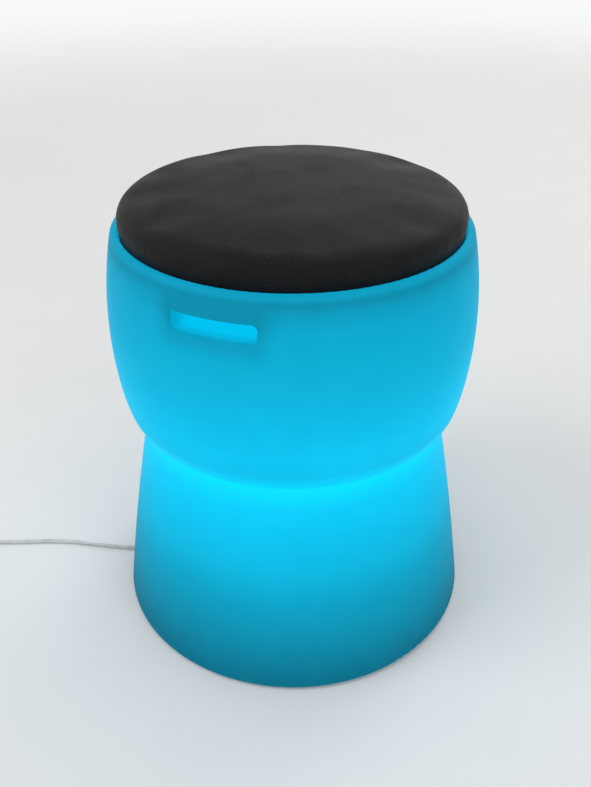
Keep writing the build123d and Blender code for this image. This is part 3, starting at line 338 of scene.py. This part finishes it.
MATERIALS = {
    "glow_shell": glow_material(),
    "seat_vinyl": vinyl_material(),
    "plywood": wood_material(),
    "circuit_board": circuit_material(),
    "opal_dome": lit_dome_material(),
    "base_plastic": mottled("base_plastic", (0.50, 0.51, 0.52), (0.42, 0.43, 0.44), 0.5, 900, 0.0002),
    "seal_rubber": mottled("seal_rubber", (0.022, 0.022, 0.023), (0.035, 0.035, 0.036), 0.75, 800, 0.0003),
    "foot_rubber": mottled("foot_rubber", (0.045, 0.045, 0.047), (0.065, 0.064, 0.062), 0.8, 700, 0.0003),
    "brass": mottled("brass", (0.72, 0.52, 0.22), (0.55, 0.38, 0.15), 0.32, 600, 0.0001, 1.0),
    "screw_steel": mottled("screw_steel", (0.56, 0.56, 0.57), (0.42, 0.42, 0.43), 0.34, 600, 0.0001, 1.0),
    "bracket_steel": mottled(
        "bracket_steel", (0.55, 0.56, 0.58), (0.45, 0.46, 0.48), 0.4, 400, 0.0001, 1.0, stretch=(0.2, 1, 1)
    ),
    "holder_plastic": mottled(
        "holder_plastic", (0.025, 0.025, 0.027), (0.04, 0.04, 0.042), 0.45, 900, 0.0002
    ),
    "ceramic": mottled("ceramic", (0.80, 0.79, 0.74), (0.70, 0.68, 0.62), 0.25, 300, 0.0002),
    "cap_metal": mottled("cap_metal", (0.70, 0.70, 0.71), (0.58, 0.58, 0.59), 0.28, 500, 0.0001, 1.0),
    "lamp_plastic": mottled("lamp_plastic", (0.74, 0.75, 0.76), (0.66, 0.67, 0.68), 0.4, 700, 0.0002),
    "led_plate": mottled("led_plate", (0.80, 0.80, 0.80), (0.72, 0.72, 0.72), 0.4, 600, 0.0001),
    "led_phosphor": mottled("led_phosphor", (0.85, 0.66, 0.16), (0.75, 0.55, 0.12), 0.3, 900, 0.0001),
    "flex_pvc": mottled("flex_pvc", (0.56, 0.57, 0.57), (0.47, 0.48, 0.48), 0.46, 900, 0.0002),
    "core_pvc": mottled("core_pvc", (0.16, 0.07, 0.03), (0.12, 0.05, 0.02), 0.45, 900, 0.0001),
    "tie_plastic": mottled("tie_plastic", (0.03, 0.03, 0.03), (0.05, 0.05, 0.05), 0.5, 900, 0.0002),
    "seat_foam": mottled("seat_foam", (0.74, 0.68, 0.46), (0.62, 0.55, 0.34), 0.95, 500, 0.0008),
    "pin_sleeve": mottled("pin_sleeve", (0.03, 0.03, 0.03), (0.045, 0.045, 0.045), 0.45, 900, 0.0001),
    "pin_metal": mottled("pin_metal", (0.66, 0.65, 0.62), (0.52, 0.51, 0.48), 0.27, 700, 0.0001, 1.0),
}

slot_of = {entry["node"]: entry["material_slot"] for entry in frame["record"]["subparts"]}
for node_name, node in NODES.items():
    node.data.materials.clear()
    node.data.materials.append(MATERIALS[slot_of[node_name]])
    for polygon in node.data.polygons:
        polygon.material_index = 0


# ---- flex: one flat twin cord from the foot ring to the plug ----
# The same route as the part's own flex, coil and tail. A flat flex lies lower than a round tube.
CORD_WIDTH = 5.4
CORD_THICK = 3.4
CORD_ANGLE = 197.3
EXIT_R = 189.6
FIRST_RUN = 25.0
ON_EDGE_Z = CORD_WIDTH / 2
FLAT_Z = CORD_THICK / 2
COIL_Z = 4.0
COIL_PITCH = 6.1
COIL_OUTER_R = 33.75
COIL_LAYERS = 4
RINGS = 4
COIL_HEADING = 202.6
POINTS_PER_HALF = 6
TAIL_DROP = [(12, 22.3), (27, 18.5), (42, 10.5), (55, 6.85), (67, 6.85)]
ON_EDGE = 90.0            # degrees that the flat cord is turned about its own line
LOBE_HALF_ARC = 65        # degrees of each core's round that show on either side of its middle
LOBE_STEPS = 8


def around(radius, angle, z=0.0):
    a = math.radians(angle)
    return Vector((radius * math.cos(a), radius * math.sin(a), z))


def coil_points(start, heading):
    """Control points of the coil's half turns, and where and which way the cord leaves it."""
    points = []
    place, forward = start.copy(), heading.copy()
    rings = [COIL_OUTER_R - step * COIL_PITCH / 2 for step in range(RINGS)]
    half_turns = []
    for layer in range(COIL_LAYERS):
        inward = layer % 2 == 0
        half_turns += [(radius, 0.0, 1.0) for radius in (rings if inward else rings[::-1])]
        climb = rings[-1] - COIL_PITCH / 2 if inward else rings[0] + COIL_PITCH / 2
        half_turns.append((climb, COIL_PITCH, 1.0))
    half_turns = half_turns[:-2] + [(rings[0], 0.0, 0.5)]
    spread = math.cos(math.radians(90 / POINTS_PER_HALF))
    for radius, climb, share in half_turns:
        left = Matrix.Rotation(math.radians(90), 3, "Z") @ forward
        centre = place + left * radius
        count = int(POINTS_PER_HALF * share)
        for step in range(count):
            a = math.radians((step + 0.5) * 180 / POINTS_PER_HALF)
            out = -left * math.cos(a) + forward * math.sin(a)
            rise = Vector((0, 0, climb * (step + 0.5) / count))
            points.append(centre + out * radius / spread + rise)
        end = math.pi * share
        place = centre + (-left * math.cos(end) + forward * math.sin(end)) * radius + Vector((0, 0, climb))
        forward = forward * math.cos(end) + left * math.sin(end)
    return points, place, forward


def flex_route():
    """Control points in millimetres, each with the cord's turn about its own line."""
    floor_run = [
        (-229.0, -69.0, 2.4, 60),
        (-256.0, -73.9, FLAT_Z, 12),
        (-284.0, -84.2, FLAT_Z, 0),
        (-312.0, -97.6, FLAT_Z, 0),
        (-338.0, -108.1, FLAT_Z, 15),
        (-360.7, -117.9, 2.6, 60),
        (-380.85, -126.04, COIL_Z, ON_EDGE),
        (-394.7, -131.8, COIL_Z, ON_EDGE),
    ]
    route = [
        (around(EXIT_R, CORD_ANGLE, ON_EDGE_Z), ON_EDGE),
        (around(EXIT_R + FIRST_RUN, CORD_ANGLE, ON_EDGE_Z), ON_EDGE),
    ]
    route += [(Vector(point[:3]), point[3]) for point in floor_run]
    heading = around(1, COIL_HEADING)
    coil, place, forward = coil_points(route[-1][0] + heading * CORD_WIDTH, heading)
    route += [(point, ON_EDGE) for point in coil]
    start = place + forward * CORD_WIDTH
    for along, height in TAIL_DROP:
        place = start + forward * along
        route.append((Vector((place.x, place.y, height)), ON_EDGE))
    return route


def flat_profile():
    """Section of the flat flex: two round cores side by side, with a shallow groove between."""
    curve = bpy.data.curves.new("flex_section", "CURVE")
    curve.dimensions = "2D"
    spline = curve.splines.new("POLY")
    half_width, half_thick = CORD_WIDTH / 2, CORD_THICK / 2
    lobe_centre = half_width - half_thick
    points = []
    for side in (1, -1):
        for step in range(LOBE_STEPS + 1):
            a = math.radians(-LOBE_HALF_ARC + step * 2 * LOBE_HALF_ARC / LOBE_STEPS)
            points.append((side * (lobe_centre + half_thick * math.cos(a)), side * half_thick * math.sin(a)))
    spline.points.add(len(points) - 1)
    for target, (px, py) in zip(spline.points, points):
        target.co = (px * MM, py * MM, 0, 1)
    spline.use_cyclic_u = True
    return bpy.data.objects.new("flex_section", curve)


route = flex_route()
flex_curve = bpy.data.curves.new("flex_cord", "CURVE")
flex_curve.dimensions = "3D"
flex_curve.twist_mode = "Z_UP"
flex_curve.resolution_u = 6
flex_spline = flex_curve.splines.new("NURBS")
flex_spline.points.add(len(route) - 1)
for target, (point, edge_turn) in zip(flex_spline.points, route):
    target.co = (*(point * MM), 1)
    target.tilt = math.radians(edge_turn)
flex_spline.order_u = 3
flex_spline.use_endpoint_u = True
flex_curve.bevel_mode = "OBJECT"
flex_curve.bevel_object = flat_profile()
flex_curve.use_fill_caps = True
flex_cord = bpy.data.objects.new("flex_cord", flex_curve)
bpy.context.scene.collection.objects.link(flex_cord)
flex_curve.materials.append(MATERIALS["flex_pvc"])
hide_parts("flex", "flex_coil", "flex_tail")
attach(flex_cord, "stool")

# ---- padded seat: vinyl pulled over foam and stapled underneath ----
SEAT_TOP = 450.0
SEAT_BOTTOM = 407.85
SEAT_SIDE_R = 156.27
LIP_Z = 419.55
WIDEST_R = 158.6
WIDEST_Z = 428.5
SHOULDER_R = 139.2
SHOULDER_Z = 448.4
SEAT_SLACK = 2.5          # the cover is cut this much lower than its filled shape
SEAT_SEGMENTS = 144
CROWN_STEPS = 24
SHOULDER_STEPS = 12
LOWER_EDGE = 2.0          # the cut of the cover turns in over this much at the board
REMESH_STEP = 4.5
SIM_FRAMES = 20
FOAM_PRESSURE = 3.0
SWELL_CAP = 5.0
CLOTH_STIFFNESS = 60
SMOOTH_ROUNDS = 14
GATHER_TOP_Z = 440.0
GATHER_START_R = 150.0    # no gathers inside this radius
GATHER_FADE = 4.0
TURN_UNDER_R = 128.3      # the cover's stapled border ends here, on the board's underside
COVER_THICK = 1.0
SQUARE_WITHIN = 4.5       # the edge round the board is sharp within this reach, two steps of the mesh
SQUARE_ABOVE_LIP = 2.0
WELD_WITHIN = 0.1
UNDERSIDE_WITHIN = 0.5
STAPLES = 24
TUCK_DEPTH = 0.5          # how deep the vinyl draws in between one pull and the next


def seat_profile():
    """Radius and height from the crown down and round to the underside."""
    top, shoulder_z = SEAT_TOP - SEAT_SLACK, SHOULDER_Z - SEAT_SLACK
    profile = []
    for step in range(1, CROWN_STEPS + 1):
        radius = SHOULDER_R * step / CROWN_STEPS
        profile.append((radius, top - (top - shoulder_z) * (step / CROWN_STEPS) ** 2))
    for step in range(1, SHOULDER_STEPS + 1):
        a = math.radians(90 * step / SHOULDER_STEPS)
        profile.append((
            SHOULDER_R + (WIDEST_R - SHOULDER_R) * math.sin(a),
            WIDEST_Z + (shoulder_z - WIDEST_Z) * math.cos(a),
        ))
    profile += [(SEAT_SIDE_R, LIP_Z), (SEAT_SIDE_R, SEAT_BOTTOM + LOWER_EDGE)]
    profile.append((SEAT_SIDE_R - LOWER_EDGE, SEAT_BOTTOM))
    return profile


def tuck(angle, slack):
    """How far the vinyl draws in at an angle: deepest between the staples' pulls, and never quite even."""
    across, along = math.cos(angle), math.sin(angle)
    drift = 0.9 * noise.noise(Vector((2 * across, 2 * along, 0)))
    pulls = 0.5 - 0.5 * math.cos(STAPLES * angle + drift)
    uneven = 0.65 + 0.35 * noise.noise(Vector((4 * across, 4 * along, 7)))
    return TUCK_DEPTH * slack * pulls * uneven


def seat_form():
    """The cover's own cut, before its foam fills it: a closed form, a little low above the lip."""
    mesh = bmesh.new()
    rings = []
    for radius, height in seat_profile():
        ring = []
        for step in range(SEAT_SEGMENTS):
            angle = 2 * math.pi * step / SEAT_SEGMENTS
            ring.append(mesh.verts.new(around(radius, math.degrees(angle), height) * MM))
        rings.append(ring)
    crown = mesh.verts.new(Vector((0, 0, SEAT_TOP - SEAT_SLACK)) * MM)
    under = mesh.verts.new(Vector((0, 0, SEAT_BOTTOM)) * MM)
    for step in range(SEAT_SEGMENTS):
        following = (step + 1) % SEAT_SEGMENTS
        mesh.faces.new((crown, rings[0][step], rings[0][following]))
        mesh.faces.new((under, rings[-1][following], rings[-1][step]))
        for upper, lower in zip(rings, rings[1:]):
            mesh.faces.new((upper[step], lower[step], lower[following], upper[following]))
    data = bpy.data.meshes.new("seat_pad")
    mesh.to_mesh(data)
    mesh.free()
    return data


def apply_modifiers(piece):
    """Gives the piece the mesh that its modifiers make, and takes them off."""
    shaped = bpy.data.meshes.new_from_object(piece.evaluated_get(bpy.context.evaluated_depsgraph_get()))
    piece.modifiers.clear()
    piece.data = shaped


def fill_with_foam(piece):
    """Cloth simulation: the foam's pressure swells crown and shoulder, and the staples hold the side."""
    held = piece.vertex_groups.new(name="held")
    still = [vertex.index for vertex in piece.data.vertices if vertex.co.z < WIDEST_Z * MM]
    held.add(still, 1.0, "REPLACE")
    before = [vertex.co.copy() for vertex in piece.data.vertices]
    cloth = piece.modifiers.new("cloth", "CLOTH")
    cloth.settings.use_pressure = True
    cloth.settings.uniform_pressure_force = FOAM_PRESSURE
    cloth.settings.effector_weights.gravity = 0
    cloth.settings.vertex_group_mass = held.name
    cloth.settings.tension_stiffness = CLOTH_STIFFNESS
    cloth.settings.compression_stiffness = CLOTH_STIFFNESS
    cloth.settings.bending_stiffness = CLOTH_STIFFNESS
    for number in range(1, SIM_FRAMES + 1):
        bpy.context.scene.frame_set(number)
    apply_modifiers(piece)
    bpy.context.scene.frame_set(1)
    for vertex, start in zip(piece.data.vertices, before):
        move = vertex.co - start
        if move.length > SWELL_CAP * MM:
            vertex.co = start + move.normalized() * SWELL_CAP * MM


def limited(share):
    return max(0.0, min(1.0, share))


def pull_in(piece):
    """The staples' pull: shallow gathers down the side, which fade out over the shoulder."""
    for vertex in piece.data.vertices:
        x, y, z = vertex.co / MM
        radius = math.hypot(x, y)
        below_top = limited((GATHER_TOP_Z - z) / (GATHER_TOP_Z - LIP_Z))
        slack = below_top * limited((radius - GATHER_START_R) / GATHER_FADE)
        if slack > 0 and z > SEAT_BOTTOM + COVER_THICK:
            inward = tuck(math.atan2(y, x), slack) / radius
            vertex.co.x -= x * inward * MM
            vertex.co.y -= y * inward * MM


def turn_under(piece):
    """Squares the cover's lower edge round the board, and opens it inside the border that is stapled."""
    mesh = bmesh.new()
    mesh.from_mesh(piece.data)
    for vertex in mesh.verts:
        radius = vertex.co.xy.length / MM
        if vertex.co.z < (LIP_Z + SQUARE_ABOVE_LIP) * MM and radius > SEAT_SIDE_R - SQUARE_WITHIN:
            vertex.co.xy *= SEAT_SIDE_R / radius
        if vertex.co.z < (SEAT_BOTTOM + SQUARE_WITHIN) * MM:
            vertex.co.z = SEAT_BOTTOM * MM
    bmesh.ops.remove_doubles(mesh, verts=mesh.verts, dist=WELD_WITHIN * MM)
    inner = []
    for face in mesh.faces:
        centre = face.calc_center_median()
        if centre.z < (SEAT_BOTTOM + UNDERSIDE_WITHIN) * MM and centre.xy.length < TURN_UNDER_R * MM:
            inner.append(face)
    bmesh.ops.delete(mesh, geom=inner, context="FACES")
    border = [edge for edge in mesh.edges if edge.is_boundary]
    for vertex in {vertex for edge in border for vertex in edge.verts}:
        vertex.co.xy *= TURN_UNDER_R * MM / vertex.co.xy.length
    lifted = bmesh.ops.extrude_edge_only(mesh, edges=border)["geom"]
    for vertex in (item for item in lifted if isinstance(item, bmesh.types.BMVert)):
        vertex.co.z += COVER_THICK * MM
    bmesh.ops.recalc_face_normals(mesh, faces=mesh.faces)
    mesh.to_mesh(piece.data)
    mesh.free()


seat_pad = bpy.data.objects.new("seat_pad", seat_form())
bpy.context.scene.collection.objects.link(seat_pad)
remesh = seat_pad.modifiers.new("remesh", "REMESH")
remesh.mode = "VOXEL"
remesh.voxel_size = REMESH_STEP * MM
apply_modifiers(seat_pad)
fill_with_foam(seat_pad)
smooth = seat_pad.modifiers.new("smooth", "SMOOTH")
smooth.factor = 0.5
smooth.iterations = SMOOTH_ROUNDS
subdivision = seat_pad.modifiers.new("subdivision", "SUBSURF")
subdivision.levels = 1
subdivision.render_levels = 1
apply_modifiers(seat_pad)
pull_in(seat_pad)
turn_under(seat_pad)
for polygon in seat_pad.data.polygons:
    polygon.use_smooth = True
seat_pad.data.materials.clear()
seat_pad.data.materials.append(MATERIALS["seat_vinyl"])
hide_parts("seat_cover", "seat_foam")
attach(seat_pad, "seat")

# ---- studio ----
BACKDROP_WHITE = 0.95
WORLD_LIGHT = 0.7
FLOOR_COLOR = (0.80, 0.80, 0.79)
FLOOR_TONE = (0.78, 0.78, 0.78)
FLOOR_SIZE = 60.0
FLOOR_FADE_START = 0.9    # metres from the stool at which the floor starts to pass into the white backdrop
FLOOR_FADE_END = 4.5


def seen_directly(tree):
    """1 for a camera, glossy or transmission ray, and 0 for the light that falls on the object."""
    rays = tree.nodes.new("ShaderNodeLightPath").outputs
    mirrored = calc(tree, "MAXIMUM", rays["Is Glossy Ray"], rays["Is Transmission Ray"])
    return calc(tree, "MAXIMUM", rays["Is Camera Ray"], mirrored)


floor_material, floor_tree, floor_shader = new_material("studio_floor", FLOOR_COLOR, 0.9, specular=0.1)
floor_place = object_axes(floor_tree)[3]
floor_clouds = fade(floor_tree, speckle(floor_tree, floor_place, 3), 0.3, 0.7)
floor_color = blend_colors(floor_tree, floor_clouds, FLOOR_COLOR, FLOOR_TONE)
floor_tree.links.new(floor_color, floor_shader.inputs["Base Color"])
far_light = floor_tree.nodes.new("ShaderNodeEmission")
far_light.inputs["Color"].default_value = (1, 1, 1, 1)
far_light.inputs["Strength"].default_value = BACKDROP_WHITE
away = floor_tree.nodes.new("ShaderNodeVectorMath")
away.operation = "LENGTH"
floor_tree.links.new(floor_place, away.inputs[0])
passing = fade(floor_tree, away.outputs["Value"], FLOOR_FADE_START, FLOOR_FADE_END)
mix = floor_tree.nodes.new("ShaderNodeMixShader")
floor_tree.links.new(calc(floor_tree, "MULTIPLY", passing, seen_directly(floor_tree)), mix.inputs[0])
floor_tree.links.new(floor_shader.outputs[0], mix.inputs[1])
floor_tree.links.new(far_light.outputs[0], mix.inputs[2])
floor_tree.links.new(mix.outputs[0], floor_tree.nodes["Material Output"].inputs["Surface"])
bpy.ops.mesh.primitive_plane_add(size=FLOOR_SIZE, location=(0, 0, 0))
floor = bpy.context.object
floor.name = "studio_floor"
floor.data.materials.append(floor_material)

world = bpy.data.worlds.new("studio")
bpy.context.scene.world = world
world.use_nodes = True
sky_tree = world.node_tree
backdrop = sky_tree.nodes["Background"]
backdrop.inputs["Color"].default_value = (1, 1, 1, 1)
sky_level = fade(sky_tree, seen_directly(sky_tree), 0, 1, WORLD_LIGHT, BACKDROP_WHITE)
sky_tree.links.new(sky_level, backdrop.inputs["Strength"])


def area_light(name, place, target, size, watts):
    data = bpy.data.lights.new(name, "AREA")
    data.shape = "DISK"
    data.size = size
    data.energy = watts
    lamp = bpy.data.objects.new(name, data)
    lamp.location = place
    aim = Vector(target) - Vector(place)
    lamp.rotation_euler = aim.to_track_quat("-Z", "Y").to_euler()
    bpy.context.scene.collection.objects.link(lamp)


MID_STOOL = (0, 0, 0.25)
area_light("key", (-1.5, -1.4, 2.2), MID_STOOL, 1.6, 22)
area_light("fill", (1.8, -1.2, 1.4), MID_STOOL, 1.6, 9)
area_light("back", (0.4, 1.9, 1.9), MID_STOOL, 1.4, 10)
